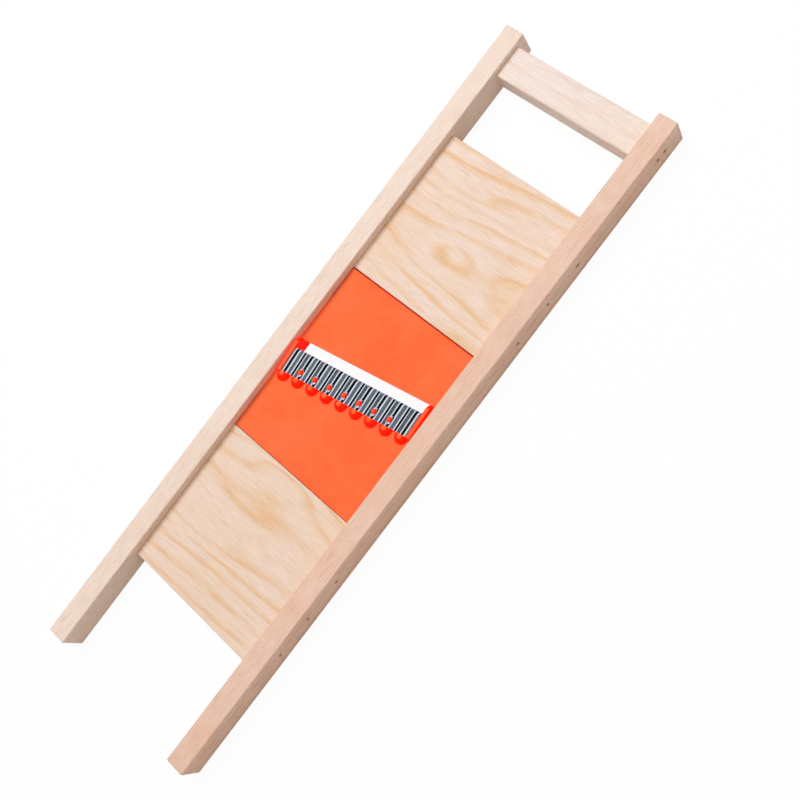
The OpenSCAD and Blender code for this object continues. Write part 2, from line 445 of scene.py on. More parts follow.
# Strength of the late wood over one growth ring: it comes slowly and ends sharply
LATE_WOOD = [
    (0.0, "#888888"),
    (0.08, "#000000"),
    (0.5, "#000000"),
    (0.74, "#CBCBCB"),
    (0.86, "#FFFFFF"),
    (1.0, "#888888"),
]
# Shade of a face ply, a glue line, a cross ply and a glue line, downwards
PLIES = [
    (0.0, "#FFFFFF"),
    (0.47, "#FFFFFF"),
    (0.49, "#A98C74"),
    (0.52, "#DCC4AC"),
    (0.96, "#DCC4AC"),
    (0.98, "#A98C74"),
]


@dataclass(frozen=True)
class Swell:
    """A bulge of the growth rings, which a cut along them shows as a closed loop."""

    x: float
    y: float
    reach_x: float
    reach_y: float
    rings: float


@dataclass(frozen=True)
class PeeledFigure:
    """Growth lines of peeled veneer, fibres across the rails: arches beside a ridge, with loops on it."""

    ridge_y: float
    ridge_tilt: float
    round_mm: float
    ring_mm: float
    start: float
    spread: float
    swells: tuple[Swell, ...]

    def rings(self, tree: bpy.types.NodeTree, place: bpy.types.Node) -> bpy.types.Node:
        """Counts the growth rings outwards from the ridge.

        Args:
            tree: Node tree that gets the nodes.
            place: Place in millimetres.

        Returns:
            The count, whole on the dark side of a growth line.
        """
        turn = (-self.ridge_tilt, 1.0, 0.0)
        across = add_node(tree, "VectorMath", {"operation": "DOT_PRODUCT"}, in0=place, in1=turn)
        off = add_node(tree, "Math", {"operation": "SUBTRACT"}, in0=across, in1=self.ridge_y)
        rounding = self.round_mm**2
        squared = add_node(tree, "Math", {"operation": "MULTIPLY_ADD"}, in0=off, in1=off, in2=rounding)
        reach = add_node(tree, "Math", {"operation": "SQRT"}, in0=squared)
        per_mm = 1 / self.ring_mm
        even = add_node(tree, "Math", {"operation": "MULTIPLY_ADD"}, in0=reach, in1=per_mm, in2=-self.start)
        lean = (-self.spread, 0.0, 0.0)
        leaning = add_node(tree, "VectorMath", {"operation": "DOT_PRODUCT"}, in0=place, in1=lean)
        count = add_node(tree, "Math", {"operation": "ADD"}, in0=even, in1=leaning)
        for swell in self.swells:
            middle = (swell.x, swell.y, 0.0)
            # The third value leaves height out
            reach = (swell.reach_x, swell.reach_y, 1e6)
            apart = add_node(tree, "VectorMath", {"operation": "SUBTRACT"}, in0=place, in1=middle)
            sized = add_node(tree, "VectorMath", {"operation": "DIVIDE"}, in0=apart, in1=reach)
            square = add_node(tree, "VectorMath", {"operation": "DOT_PRODUCT"}, in0=sized, in1=sized)
            falling = add_node(tree, "Math", {"operation": "MULTIPLY"}, in0=square, in1=-1.0)
            bulge = add_node(tree, "Math", {"operation": "EXPONENT"}, in0=falling)
            rings = -swell.rings
            count = add_node(tree, "Math", {"operation": "MULTIPLY_ADD"}, in0=bulge, in1=rings, in2=count)
        return count


@dataclass(frozen=True)
class SawnFigure:
    """Growth lines of a sawn bar: nearly straight along the fibres, arcs on its ends."""

    middle: Point
    ring_mm: float

    def rings(self, tree: bpy.types.NodeTree, place: bpy.types.Node) -> bpy.types.Node:
        """Counts the growth rings outwards from the tree's middle.

        Args:
            tree: Node tree that gets the nodes.
            place: Place in millimetres, fibres along the axis in which middle is 0.

        Returns:
            The count, whole on the dark side of a growth line.
        """
        apart = add_node(tree, "VectorMath", {"operation": "SUBTRACT"}, in0=place, in1=self.middle)
        mask = tuple(0.0 if c == 0 else 1.0 for c in self.middle)
        flat = add_node(tree, "VectorMath", {"operation": "MULTIPLY"}, in0=apart, in1=mask)
        reach = add_node(tree, "VectorMath", {"operation": "LENGTH"}, in0=flat)
        return add_node(tree, "Math", {"operation": "DIVIDE"}, in0=reach, in1=self.ring_mm)


class Fibres(Enum):
    """Way that the fibres run, as lengths by which a pattern is drawn out along X, Y and Z."""

    ALONG_RAILS = (1.0, 22.0, 1.0)
    ACROSS_RAILS = (22.0, 1.0, 1.0)


@dataclass(frozen=True)
class SandedWood:
    """Bare pale hardwood, planed and sanded without varnish: matt, with soft growth lines and fibres."""

    name: str
    pale: str
    tone: str
    line: str
    figure: PeeledFigure | SawnFigure
    fibres: Fibres
    line_strength: float
    wander: float
    wander_mm: Point
    pore_strength: float
    streak: str = "#F3EDE8"
    seed: float = 0.0

    def build(self) -> bpy.types.Material:
        """Builds the material.

        Returns:
            The wood as a node material.
        """
        material, tree = new_material(self.name)
        place = in_millimetres(tree)
        shift = (self.seed, 2.3 * self.seed, self.seed)
        other = add_node(tree, "VectorMath", {"operation": "ADD"}, in0=place, in1=shift)
        # Growth lines waver by a part of their spacing
        bend = mottle(tree, other, self.wander_mm, 2.0, 0.45)
        half = -self.wander / 2
        moved = add_node(tree, "Math", {"operation": "MULTIPLY_ADD"}, in0=bend, in1=self.wander, in2=half)
        count = add_node(tree, "Math", {"operation": "ADD"}, in0=self.figure.rings(tree, place), in1=moved)
        part = add_node(tree, "Math", {"operation": "FRACT"}, in0=count)
        late = add_node(tree, "ValToRGB", {"stops": LATE_WOOD}, Fac=part)
        # Some growth lines are faint and some stand out
        change = mottle(tree, other, (38.0, 14.0, 30.0), 1.0)
        faint, full = 0.3 * self.line_strength, self.line_strength
        force = add_node(tree, "MapRange", Value=change, in1=0.36, in2=0.64, in3=faint, in4=full)
        drawn = add_node(tree, "Math", {"operation": "MULTIPLY"}, in0=late, in1=force)
        # Cloudy change of tone, a few centimetres wide
        cloud = mottle(tree, other, (34.0, 30.0, 30.0))
        ground = add_node(tree, "ValToRGB", {"stops": [(0.36, self.pale), (0.66, self.tone)]}, Fac=cloud)
        lined = add_node(tree, "Mix", {"data_type": "RGBA"}, Factor=drawn, A=ground, B=self.line)
        # Threads of late wood: streaks of 1.4 mm drawn out 30 mm long
        thread = mottle(tree, other, tuple(1.4 * c for c in self.fibres.value))
        threads = add_node(tree, "MapRange", Value=thread, in1=0.5, in2=0.75, in3=0.0, in4=faint)
        lined = add_node(tree, "Mix", {"data_type": "RGBA"}, Factor=threads, A=lined, B=self.line)
        # Fibres: streaks of 0.5 mm drawn out 11 mm long
        fibre = mottle(tree, other, tuple(0.5 * c for c in self.fibres.value), 3.0)
        shades = add_node(tree, "ValToRGB", {"stops": [(0.34, self.streak), (0.58, "#FFFFFF")]}, Fac=fibre)
        multiply = {"data_type": "RGBA", "blend_type": "MULTIPLY"}
        fine = add_node(tree, "Mix", multiply, Factor=1.0, A=lined, B=shades)
        # Cut vessels: dashes up to 0.4 mm wide and 2.6 mm long, wider than real ones so that they show
        dash = tuple(0.75 if c == 1 else 5.0 for c in self.fibres.value)
        dashed = add_node(tree, "VectorMath", {"operation": "DIVIDE"}, in0=other, in1=dash)
        cells = add_node(tree, "TexVoronoi", Vector=dashed, Scale=1.0)
        pores = add_node(tree, "MapRange", Value=cells, in1=0.12, in2=0.26, in3=self.pore_strength, in4=0.0)
        pored = add_node(tree, "Mix", {"data_type": "RGBA"}, Factor=pores, A=fine, B="#9A7660")
        colour = self.plies(tree, place, pored)
        # Sanding leaves the fibres a few hundredths of a millimetre proud
        raised = add_node(tree, "Bump", Strength=0.35, Distance=0.04 * MM, Height=fibre)
        shader = add_node(tree, "BsdfPrincipled", Base_Color=colour, Roughness=0.64, Normal=raised)
        shader.inputs["Specular IOR Level"].default_value = 0.25
        add_node(tree, "OutputMaterial", Surface=shader)
        return material

    def plies(
        self, tree: bpy.types.NodeTree, place: bpy.types.Node, colour: bpy.types.Node
    ) -> bpy.types.Node:
        """Leaves solid wood as it is.

        Args:
            tree: Node tree; not used.
            place: Place in millimetres; not used.
            colour: Colour of the wood.

        Returns:
            The same colour.
        """
        return colour


@dataclass(frozen=True)
class Plywood(SandedWood):
    """Birch plywood: on its edges, cross plies are darker than the veneers, with glue lines between."""

    top_z: float = 13.05
    ply_mm: float = 1.3

    def plies(
        self, tree: bpy.types.NodeTree, place: bpy.types.Node, colour: bpy.types.Node
    ) -> bpy.types.Node:
        """Darkens every second ply and draws the glue lines.

        Args:
            tree: Node tree that gets the nodes.
            place: Place in millimetres.
            colour: Colour of the face veneer.

        Returns:
            The colour of the plies.
        """
        height = add_node(tree, "SeparateXYZ", Vector=place).outputs["Z"]
        depth = add_node(tree, "Math", {"operation": "SUBTRACT"}, in0=self.top_z, in1=height)
        pair = add_node(tree, "Math", {"operation": "DIVIDE"}, in0=depth, in1=2 * self.ply_mm)
        part = add_node(tree, "Math", {"operation": "FRACT"}, in0=pair)
        shade = add_node(tree, "ValToRGB", {"stops": PLIES}, Fac=part)
        multiply = {"data_type": "RGBA", "blend_type": "MULTIPLY"}
        return add_node(tree, "Mix", multiply, Factor=1.0, A=colour, B=shade)


@dataclass(frozen=True)
class MouldedPlastic:
    """Polypropylene, injection moulded, satin face: vivid and a little translucent, with painted red shade on
    its steep walls and a painted red glow from the walls round the blade.
    """

    name: str = "moulded_orange_polypropylene"
    colour: str = "#FF7A4A"
    flow: str = "#FF6E3E"
    # Painted shade: the saturated red that steep walls get instead of the orange, also the colour of their
    # painted glow
    painted_wall_red: str = "#FF1C00"
    # Strength of the painted glow that keeps the walls round the blade red, though the plastic is no lamp
    glow: float = 0.42

    def build(self) -> bpy.types.Material:
        """Builds the material.

        Returns:
            The plastic as a node material.
        """
        material, tree = new_material(self.name)
        place = in_millimetres(tree)
        # Flow of the melt: a faint change of tone, 22 mm wide and broken up down to 3 mm
        melt = mottle(tree, place, (22.0, 22.0, 22.0), 4.0, 0.6)
        tone = add_node(tree, "ValToRGB", {"stops": [(0.35, self.colour), (0.65, self.flow)]}, Fac=melt)
        # Painted shade: steep walls get a saturated red instead of the orange, standing for the red shade on
        # them
        normal = add_node(tree, "TexCoord").outputs["Normal"]
        upright = add_node(tree, "VectorMath", {"operation": "DOT_PRODUCT"}, in0=normal, in1=(0.0, 0.0, 1.0))
        level = add_node(tree, "Math", {"operation": "ABSOLUTE"}, in0=upright)
        painted_wall_mask = add_node(tree, "MapRange", Value=level, in1=0.9, in2=1.0, in3=1.0, in4=0.0)
        body = add_node(tree, "Mix", {"data_type": "RGBA"}, Factor=painted_wall_mask, A=tone, B=self.painted_wall_red)
        # Spark-eroded mould: grains of 0.3 mm scatter the gloss to satin
        grain = mottle(tree, place, (0.3, 0.3, 0.3), 1.0)
        raised = add_node(tree, "Bump", Strength=0.2, Distance=0.03 * MM, Height=grain)
        gloss = add_node(tree, "MapRange", Value=grain, in1=0.3, in2=0.7, in3=0.36, in4=0.46)
        shader = add_node(tree, "BsdfPrincipled", Base_Color=body, Roughness=gloss, Normal=raised, IOR=1.49)
        shader.inputs["Specular IOR Level"].default_value = 0.06
        shader.inputs["Subsurface Weight"].default_value = 0.2
        shader.inputs["Subsurface Radius"].default_value = (1.0, 0.2, 0.08)
        shader.inputs["Subsurface Scale"].default_value = 1.5 * MM
        # Painted light: round the blade the steep walls glow red, though no lamp is there, which keeps them
        # red in the shade
        along = add_node(tree, "SeparateXYZ", Vector=place).outputs["Y"]
        apart = add_node(tree, "Math", {"operation": "ABSOLUTE"}, in0=along)
        strength = add_node(tree, "MapRange", Value=apart, in1=26.0, in2=34.0, in3=self.glow, in4=0.0)
        # Strength of the painted glow: steep walls near the blade only
        through = add_node(tree, "Math", {"operation": "MULTIPLY"}, in0=painted_wall_mask, in1=strength)
        shader.inputs["Emission Color"].default_value = linear(self.painted_wall_red)
        tree.links.new(through.outputs[0], shader.inputs["Emission Strength"])
        add_node(tree, "OutputMaterial", Surface=shader)
        return material


@dataclass(frozen=True)
class RolledSteel:
    """Cold-rolled steel sheet or wire: a mirror with hairlines along it and a faint smear."""

    name: str
    colour: str
    dull: str
    gloss: float
    hairline: float
    wobble: float

    def build(self) -> bpy.types.Material:
        """Builds the material.

        Returns:
            The steel as a node material.
        """
        material, tree = new_material(self.name)
        place = in_millimetres(tree)
        # Hairlines 0.2 mm wide, wider than real ones so that they show, drawn 18 mm long by the rolls
        lines = mottle(tree, place, (0.22, 18.0, 0.22))
        tone = add_node(tree, "ValToRGB", {"stops": [(0.32, self.dull), (0.62, self.colour)]}, Fac=lines)
        # Bending leaves the sheet a little uneven, which makes the mirrored lines waver
        rolled = mottle(tree, place, (1.6, 7.0, 1.6), 1.0)
        waver = add_node(tree, "Bump", Strength=1.0, Distance=self.wobble * MM, Height=rolled)
        depth = 0.01 * MM
        raised = add_node(tree, "Bump", Strength=self.hairline, Distance=depth, Height=lines, Normal=waver)
        # Handling leaves patches of 6 mm that mirror a little less sharply
        smear = mottle(tree, place, (6.0, 9.0, 6.0))
        dimmed = 1.5 * self.gloss
        gloss = add_node(tree, "MapRange", Value=smear, in1=0.35, in2=0.7, in3=self.gloss, in4=dimmed)
        metal = {"Base_Color": tone, "Metallic": 1.0, "Roughness": gloss, "Normal": raised}
        shader = add_node(tree, "BsdfPrincipled", **metal)
        add_node(tree, "OutputMaterial", Surface=shader)
        return material


# Sub-assemblies


@dataclass(frozen=True)
class Waves:
    """The corrugation: steep flanks joined by equal bends, on a plane that rises to the slanted edge."""

    pitch: float = 10.2
    bend: float = 3.0
    flank: float = math.radians(50.0)
    count: int = 9
    sheet: float = 0.6
    slant: float = math.tan(math.radians(10.0))
    rear_y: float = -8.95
    width: float = 15.4
    rise: float = 2.2
    rear_lift: float = 0.1
    face_z: float = 13.0
    half_w: float = 43.2
    middle_x: float = -0.1
    stud_x: float = -0.5
    stud_inset: float = 4.1
    press: float = 0.4
    flat_l: float = 1.9
    flat_w: float = 3.6
    ramp_l: float = 0.7
    steps: int = 13

    @property
    def straight(self) -> float:
        """Gives the length of a flank between two bends."""
        return (self.pitch / 2 - 2 * self.bend * math.sin(self.flank)) / math.cos(self.flank)

    @property
    def height(self) -> float:
        """Gives the height from a valley to a crest."""
        return 2 * self.bend * (1 - math.cos(self.flank)) + self.straight * math.sin(self.flank)

    @property
    def edge_y(self) -> float:
        """Gives Y of the cutting edge at the middle of the frame."""
        return self.rear_y + self.width

    def crests(self) -> list[float]:
        """Lists X of every crest."""
        return [self.middle_x + (i - (self.count - 1) / 2) * self.pitch for i in range(self.count)]

    def plane(self) -> Matrix:
        """Gives the sheet's middle plane, Y along the waves and origin on the edge, in metres."""
        level = self.face_z + self.rear_lift + self.height / 2 + self.sheet / 2 + self.rise
        tilt = math.atan(self.rise / self.width)
        lean = math.atan(self.slant * math.sin(tilt))
        place = at((0, self.edge_y, level))
        return place @ Matrix.Rotation(tilt, 4, "X") @ Matrix.Rotation(lean, 4, "Y")

    def level(self, x: float) -> float:
        """Gives the height of the sheet's middle over its plane.

        Args:
            x: Distance from the middle of the frame.

        Returns:
            Height over the middle plane.
        """
        off = abs((x - self.crests()[0] + self.pitch / 2) % self.pitch - self.pitch / 2)
        bent = self.bend * math.sin(self.flank)
        lift = self.height / 2 - self.bend
        if off < bent:
            return lift + math.sqrt(self.bend**2 - off**2)
        if off > self.pitch / 2 - bent:
            return -lift - math.sqrt(self.bend**2 - (self.pitch / 2 - off) ** 2)
        return (self.pitch / 4 - off) * math.tan(self.flank)

    def studs(self) -> list[Vector]:
        """Lists the studs' places on the pressed crests, in millimetres on the sheet's plane."""
        top = self.height / 2 + self.sheet / 2 - self.press
        behind = self.stud_inset - self.width
        places = [x + self.stud_x for x in self.crests()[1:-1]]
        return [Vector((x, behind + x * self.slant, top)) for x in places]

    def stud_places(self) -> list[Matrix]:
        """Lists the studs' places in the frame, in metres."""
        return [self.plane() @ at(spot) for spot in self.studs()]

    def strip(self, name: str, off: float, wing: float) -> bpy.types.Object:
        """Draws the waves as a level strip, from the valley before the first crest to the one after the last.

        Args:
            name: Name of the strip.
            off: Distance from the sheet's middle, upwards.
            wing: Length of a level wing at each end.

        Returns:
            The strip, long enough for the slant, with the sheet's middle plane on Z = 0.
        """
        length = 5 * self.width
        lift = self.height / 2 - self.bend
        half = self.pitch / 2
        up = (self.straight * math.cos(self.flank), 0.0, self.straight * math.sin(self.flank))
        down = (up[0], 0.0, -up[2])
        made = single_vertex(name, (self.crests()[0] - half - wing, -length / 2, off - self.height / 2))
        extrude((0, length, 0))
        bpy.ops.mesh.select_all(action="SELECT")
        if wing:
            extrude((wing, 0, 0))
        for x in self.crests():
            spin((x - half, 0, -lift), (0, 1, 0), -self.flank, self.steps // 2)
            extrude(up)
            spin((x, 0, lift), (0, 1, 0), 2 * self.flank, self.steps)
            extrude(down)
            spin((x + half, 0, -lift), (0, 1, 0), -self.flank, self.steps // 2)
        if wing:
            extrude((wing, 0, 0))
        outwards()
        return made

    def flatten(self, under: float) -> None:
        """Presses the crests of the active level strip flat round the studs, with a ramp at each end.

        Args:
            under: How far the pressed surface lies under the sheet's upper one.
        """
        for stud in self.studs():
            level = stud.z - under
            crest = stud.x - self.stud_x
            far = self.flat_l + self.ramp_l
            for ahead in (-far, -self.flat_l, self.flat_l, far):
                pick(Part.FACE, lambda spot, way: abs(spot.x - crest) < self.bend)
                bpy.ops.mesh.bisect(plane_co=(stud + Vector((0, ahead, 0))) * MM, plane_no=(0, 1, 0))
            pick(
                Part.VERT,
                lambda spot, way: abs(spot.x - crest) < self.flat_w / 2
                and level < spot.z < level + self.press + NEAR
                and abs(spot.y - stud.y) < self.flat_l + NEAR,
            )
            bpy.ops.transform.resize(value=(1, 1, 0), center_override=(0, 0, level * MM))
        bpy.ops.object.mode_set(mode="OBJECT")

    def put(self, strip: bpy.types.Object) -> None:
        """Puts a level strip on the sheet's plane.

        Args:
            strip: The active strip.
        """
        strip.matrix_world = self.plane()
        apply_place()

    def across(self, y: float) -> tuple[Point, Point]:
        """Gives an upright plane along the slant.

        Args:
            y: Place of the plane at the middle of the frame.

        Returns:
            A point on the plane and its normal towards the handle.
        """
        return (0.0, y, 0.0), (-self.slant, 1.0, 0.0)

    def crop(self, front_y: float, rear_y: float, half_w: float) -> None:
        """Trims the active mesh along the slant and at its two ends.

        Args:
            front_y: Place of the front cut at the middle of the frame.
            rear_y: Place of the rear cut there.
            half_w: Half of the width that is kept.
        """
        front, forward = self.across(front_y)
        trim(front, forward)
        trim(self.across(rear_y)[0], tuple(-c for c in forward))
        for side in Side:
            trim((side.value * half_w, 0, 0), (side.value, 0, 0))


@dataclass
class Blade:
    """Corrugated blade: bent sheet, ground edge, pressed flats, and a countersunk hole for each stud."""

    waves: Waves
    steel: RolledSteel = RolledSteel(
        name="bright_rolled_stainless",
        colour="#C8CCD2",
        dull="#B6BCC4",
        gloss=0.12,
        hairline=0.05,
        wobble=0.015,
    )
    bevel_l: float = 1.4
    edge_land: float = 0.1
    hole_r: float = 1.35
    cone_r: float = 2.15
    cone_depth: float = 0.44

    def build(self) -> None:
        """Builds the blade and dresses it."""
        waves = self.waves
        blade = waves.strip("corrugated_blade", 0.0, 0.0)
        modify("SOLIDIFY", thickness=waves.sheet * MM, offset=0.0, use_even_offset=True)
        outwards()
        waves.flatten(waves.sheet)
        waves.flatten(0.0)
        waves.put(blade)
        self.grind(blade)
        punch = self.punch()
        for place in waves.stud_places():
            combine(blade, copied(punch, place), Join.CUT)
        bpy.data.objects.remove(punch)
        smooth(blade, 24.0)
        stand_in(blade, self.steel.build(), "blade")

    def grind(self, blade: bpy.types.Object) -> None:
        """Trims the sheet to its slanted edges and grinds the bevel behind the cutting edge.

        Args:
            blade: The sheet, which is the active object; not used.
        """
        waves = self.waves
        bpy.ops.object.mode_set(mode="EDIT")
        waves.crop(waves.edge_y, waves.rear_y, waves.half_w)
        start, forward = waves.across(waves.edge_y - self.bevel_l)
        bpy.ops.mesh.select_all(action="SELECT")
        bpy.ops.mesh.bisect(plane_co=Vector(start) * MM, plane_no=forward)
        back = waves.plane().inverted()

        def on_top(spot: Vector, way: Vector) -> bool:
            local = back @ (spot * MM) / MM
            return spot.y > waves.edge_y + spot.x * waves.slant - NEAR and local.z > waves.level(local.x)

        pick(Part.VERT, on_top)
        bpy.ops.transform.translate(value=(0, 0, (self.edge_land - waves.sheet) * MM))
        bpy.ops.object.mode_set(mode="OBJECT")

    def punch(self) -> bpy.types.Object:
        """Makes the punch for a stud hole, with the shoulder that leaves a bright cone round it.

        Returns:
            The punch, its cone open upwards on Z = 0.
        """
        # The cone goes on above the sheet, so that no edge of the punch lies in the sheet's surface
        wide = 1.5 * (self.cone_r - self.hole_r)
        high = 1.5 * self.cone_depth
        steps = [
            (self.hole_r, 0, 0),
            (0, 0, SPARE - self.cone_depth),
            (wide, 0, high),
            (0, 0, SPARE),
            (-self.hole_r - wide, 0, 0),
        ]
        return turned("punch", (0, 0, -SPARE), steps, (0, 0, 1), 32)


@dataclass
class Insert:
    """Moulded insert: body with slot, pockets and ribs, seat, fairings, cheeks and studs."""

    waves: Waves
    plastic: MouldedPlastic = MouldedPlastic()
    half_w: float = 47.25
    low_y: float = -57.25
    high_y: float = 54.4
    low_z: float = 6.7
    face_z: float = 13.0
    skin: float = 2.4
    wall: float = 2.0
    root: float = 1.2
    corner_r: float = 1.0
    rim_r: float = 0.35
    ribs: int = 3
    pocket_r: float = 0.8
    tongue_z: float = 7.65
    tongue_t: float = 2.0
    tongue_l: float = 2.75
    seat_w: float = 8.5
    seat_ledge: float = 0.5
    mouth_w: float = 6.3
    cheek_x: float = 43.4
    cheek_w: float = 2.4
    cheek_back: float = 1.8
    cheek_tail_z: float = 2.35
    cheek_nose_z: float = 5.5
    cheek_tail_r: float = 1.75
    cheek_nose_r: float = 4.59
    fairing_l: float = 5.4
    fairing_w: float = 8.2
    fillet: float = 0.45
    stud_r: float = 1.25
    head_r: float = 1.5
    head_h: float = 1.4
    head_lift: float = -0.3
    shank_l: float = 2.2

    def build(self) -> None:
        """Builds the insert and dresses it."""
        insert = self.body()
        combine(insert, self.seat(), Join.ADD)
        combine(insert, self.slanted("slot", self.slot_y()[0], self.slot_y()[1], self.cheek_x), Join.CUT)
        self.pockets(insert)
        self.ease_slot(insert)
        fairing = self.fairing()
        behind = self.fairing_l - self.fairing_w / 2
        for x in self.waves.crests():
            middle = x + self.waves.stud_x
            rear = self.waves.rear_y + middle * self.waves.slant
            combine(insert, copied(fairing, at((middle, rear - behind, 0))), Join.ADD)
        bpy.data.objects.remove(fairing)
        for side in Side:
            combine(insert, self.cheek(side), Join.ADD)
        stud = self.stud()
        for place in self.waves.stud_places():
            combine(insert, copied(stud, place), Join.ADD)
        bpy.data.objects.remove(stud)
        insert.name = "moulded_insert"
        activate(insert)
        bpy.ops.object.mode_set(mode="EDIT")
        bpy.ops.mesh.select_all(action="SELECT")
        bpy.ops.mesh.dissolve_limited(angle_limit=math.radians(0.2))
        # The flat face stays flat where fillets run into it
        pick(Part.EDGE, lambda spot, way: abs(spot.z - self.face_z) < NEAR and abs(way.z) < NEAR)
        bpy.ops.mesh.mark_sharp()
        smooth(insert, 34.0)
        # The waves would mirror the studs as red specks, and the photograph's blade shows none
        insert.visible_glossy = False
        stand_in(insert, self.plastic.build(), "insert")

    def slot_y(self) -> tuple[float, float]:
        """Gives the slot's two long walls at the middle of the frame."""
        return self.waves.rear_y + self.seat_w, self.waves.edge_y + self.mouth_w

    def body(self) -> bpy.types.Object:
        """Makes the block with its rounded corners, softened rim and tongues.

        Returns:
            The block.
        """
        low, high = (-self.half_w, self.low_y, self.low_z), (self.half_w, self.high_y, self.face_z)
        block = box("insert_body", low, high)
        pick(Part.EDGE, lambda spot, way: abs(way.z) > 0.9)
        bevel(self.corner_r, 5)
        pick(Part.EDGE, lambda spot, way: abs(way.z) < 0.1)
        bevel(self.rim_r, 3)
        edge = self.half_w - self.corner_r
        inside = self.wall / 2
        lower = (self.low_y - self.tongue_l, self.low_y + inside)
        upper = (self.high_y - inside, self.high_y + self.tongue_l)
        for low, high in (lower, upper):
            tongue = box("tongue", (-edge, low, self.tongue_z), (edge, high, self.tongue_z + self.tongue_t))
            combine(block, tongue, Join.ADD)
        return block

    def slanted(self, name: str, low_y: float, high_y: float, half_w: float) -> bpy.types.Object:
        """Makes a block through the insert whose long walls follow the slant.

        Args:
            name: Name of the block.
            low_y: Place of its rear wall at the middle of the frame.
            high_y: Place of its front wall there.
            half_w: Half of its width.

        Returns:
            The block.
        """
        block = box(name, (-half_w, low_y, self.low_z - SPARE), (half_w, high_y, self.face_z + 3 * SPARE))
        for side in Side:
            pick(Part.VERT, lambda spot, way: spot.x * side.value > 0)
            bpy.ops.transform.translate(value=(0, side.value * half_w * self.waves.slant * MM, 0))
        return block

    def pockets(self, insert: bpy.types.Object) -> None:
        """Hollows the underside, which leaves a skirt, ribs and the slot's walls.

        Args:
            insert: The insert.
        """
        width = (2 * self.half_w - self.wall * (self.ribs + 2)) / (self.ribs + 1)
        before = (self.high_y - self.wall, self.slot_y()[1] + self.wall)
        behind = (self.low_y + self.wall, self.waves.rear_y - self.wall)
        for far, near in (before, behind):
            for i in range(self.ribs + 1):
                x0 = -self.half_w + self.wall + i * (width + self.wall)
                x1 = x0 + width
                low = (x0, min(near, far), self.low_z - SPARE)
                pocket = box("pocket", low, (x1, max(near, far), self.face_z - self.skin))
                for x in (x0, x1):
                    pick(Part.VERT, lambda spot, way: abs(spot.x - x) < NEAR and abs(spot.y - near) < NEAR)
                    bpy.ops.transform.translate(value=(0, x * self.waves.slant * MM, 0))
                pick(Part.EDGE, lambda spot, way: abs(way.z) > 0.9)
                bevel(self.pocket_r, 3)
                combine(insert, pocket, Join.CUT)

    def ease_slot(self, insert: bpy.types.Object) -> None:
        """Rounds the slot's rim on the face.

        Args:
            insert: The insert.
        """
        activate(insert)
        slant = self.waves.slant
        front = self.slot_y()[1]
        pick(
            Part.EDGE,
            lambda spot, way: abs(spot.z - self.face_z) < NEAR
            and abs(spot.y - front - spot.x * slant) < 5 * NEAR
            and abs(spot.x) < self.cheek_x,
        )
        bevel(self.rim_r, 3)

    def seat(self) -> bpy.types.Object:
        """Makes the seat, moulded to the underside of the blade's waves.

        Returns:
            The seat, rooted in the body.
        """
        waves = self.waves
        seat = waves.strip("seat", -waves.sheet / 2, waves.pitch / 2)
        waves.flatten(waves.sheet)
        waves.put(seat)
        bpy.ops.object.mode_set(mode="EDIT")
        bpy.ops.mesh.select_all(action="SELECT")
        extrude((0, 0, -2 * SPARE))
        bpy.ops.transform.resize(value=(1, 1, 0), center_override=(0, 0, (self.face_z - self.root) * MM))
        # The slot's rear wall is cut afterwards, through seat and body alike
        waves.crop(self.slot_y()[0] + 1, waves.rear_y - self.seat_ledge, self.cheek_x + self.cheek_w / 2)
        outwards()
        return seat

    def fairing(self) -> bpy.types.Object:
        """Makes one fairing at X = 0: a dome that runs on to the blade, with a hollow fillet round its foot.

        Returns:
            The fairing.
        """
        waves = self.waves
        height = waves.rear_lift + waves.height + waves.sheet
        ball = ((self.fairing_w / 2) ** 2 + height**2) / (2 * height)
        middle_z = self.face_z + height - ball
        drop = self.face_z - middle_z + self.fillet
        foot = math.sqrt((ball + self.fillet) ** 2 - drop**2)
        turn = math.atan2(foot, drop)
        fairing = single_vertex("fairing", (0, 0, self.face_z + height))
        spin((0, 0, middle_z), (0, 1, 0), turn, 12)
        # The fillet stops just short of level and dips under the face, so that the two join cleanly
        spin((foot, 0, self.face_z + self.fillet), (0, 1, 0), -0.97 * turn, 5)
        extrude((0, 0, -self.root))
        bpy.ops.mesh.select_all(action="SELECT")
        spin((0, 0, 0), (0, 0, 1), -math.pi, 24)
        behind = self.fairing_l - self.fairing_w / 2
        pick(Part.EDGE, lambda spot, way: abs(spot.y) < NEAR and abs(way.y) < 0.5)
        far = behind + 3
        extrude((0, far, 0))
        bpy.ops.mesh.select_all(action="SELECT")
        bpy.ops.mesh.remove_doubles(threshold=0.002 * MM)
        pick(Part.EDGE, lambda spot, way: spot.y > far - NEAR)
        bpy.ops.mesh.edge_face_add()
        pick(Part.EDGE, lambda spot, way: spot.z < self.face_z - self.root / 2 and abs(way.z) < 0.5)
        bpy.ops.mesh.edge_face_add()
        outwards()
        bpy.ops.object.mode_set(mode="EDIT")
        trim((0, behind - 0.02, 0), waves.across(0)[1])
        outwards()
        return fairing

